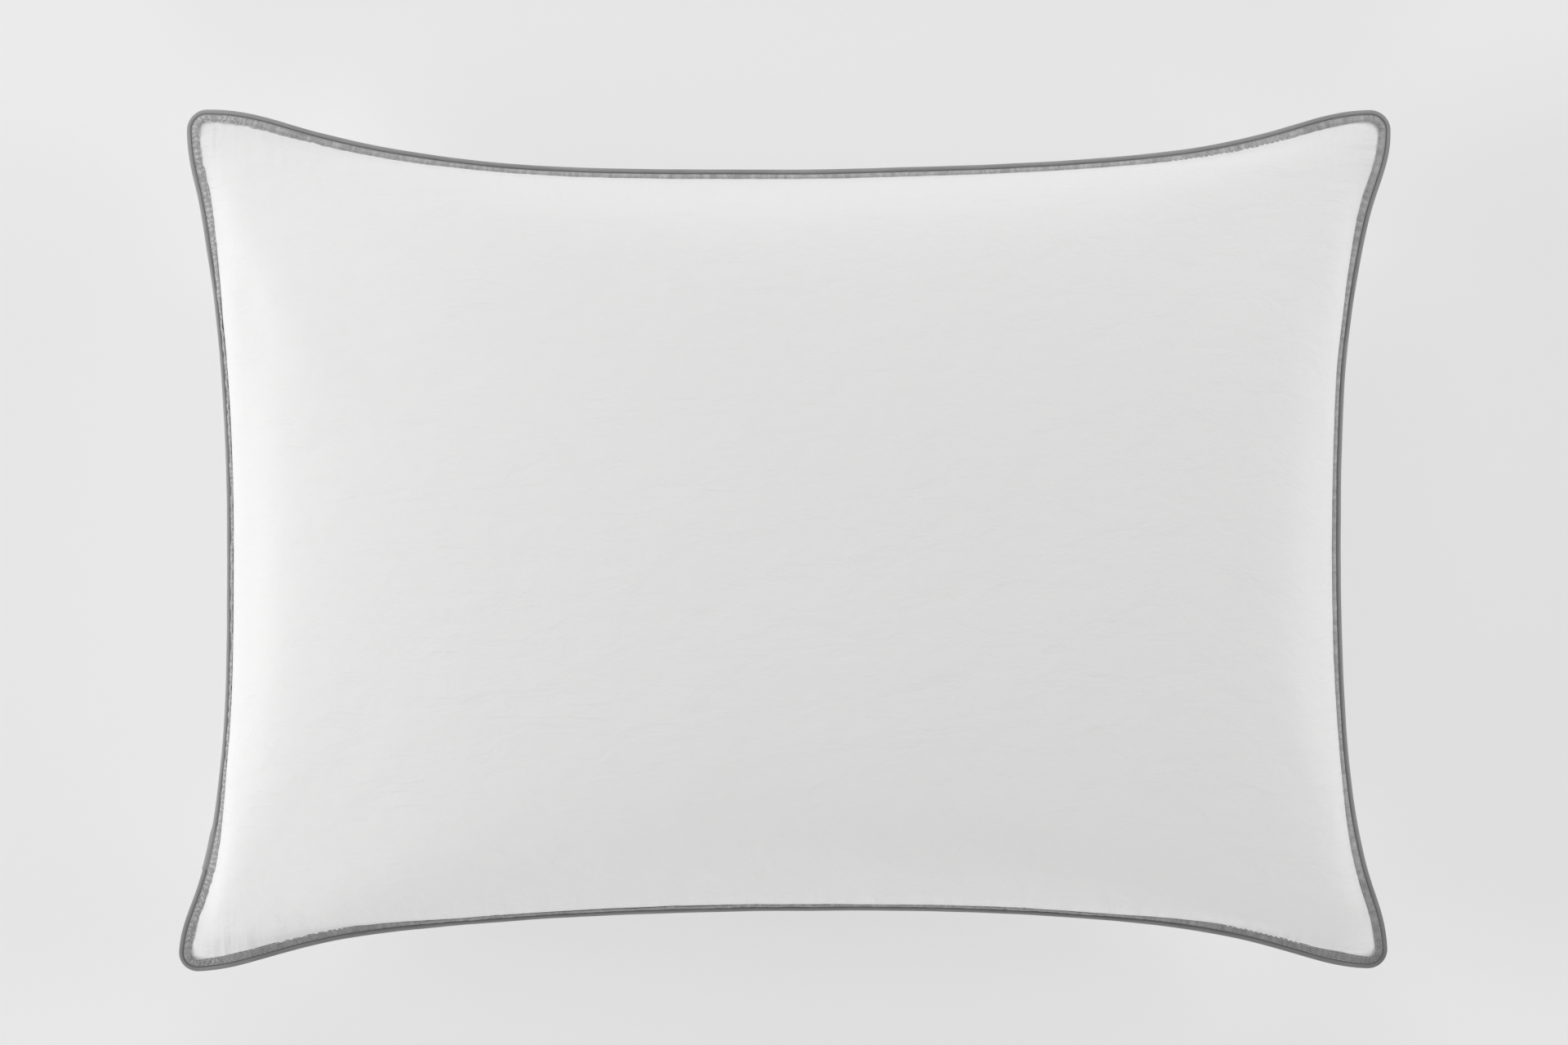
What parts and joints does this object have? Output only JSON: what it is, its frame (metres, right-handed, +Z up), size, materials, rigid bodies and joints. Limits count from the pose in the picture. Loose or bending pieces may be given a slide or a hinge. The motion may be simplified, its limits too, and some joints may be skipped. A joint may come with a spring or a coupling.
{
  "type": "bed pillow",
  "caption": "Plump rectangular bed pillow: white cotton shell over a soft fibre filling, its edge bound in grey corded tape with two rows of stitching.",
  "frame": {"origin": "on the surface that the pillow lies on, under its centre", "axes": "+X along the long side, +Y along the short side, +Z up out of the front panel"},
  "size_m": [0.7038, 0.5038, 0.1805],
  "materials": {
    "cotton_shell": "close plain-woven white cotton, smooth and matt",
    "fibre_filling": "loose white siliconised polyester fibre",
    "binding_tape": "mid-grey bias-cut cotton tape with a faint sheen",
    "piping_cord": "unbleached twisted cotton cord, hidden in the tape",
    "sewing_thread": "grey spun polyester thread",
    "label_satin": "blank white satin ribbon"
  },
  "bodies": {
    "root": {"front_panel": "cotton_shell", "back_panel": "cotton_shell", "filling": "fibre_filling", "edge_binding": "binding_tape", "piping_cord": "piping_cord", "cord_row_needle_thread": "sewing_thread", "cord_row_bobbin_thread": "sewing_thread", "hem_row_needle_thread": "sewing_thread", "hem_row_bobbin_thread": "sewing_thread", "care_label": "label_satin"}
  },
  "joints": []
}
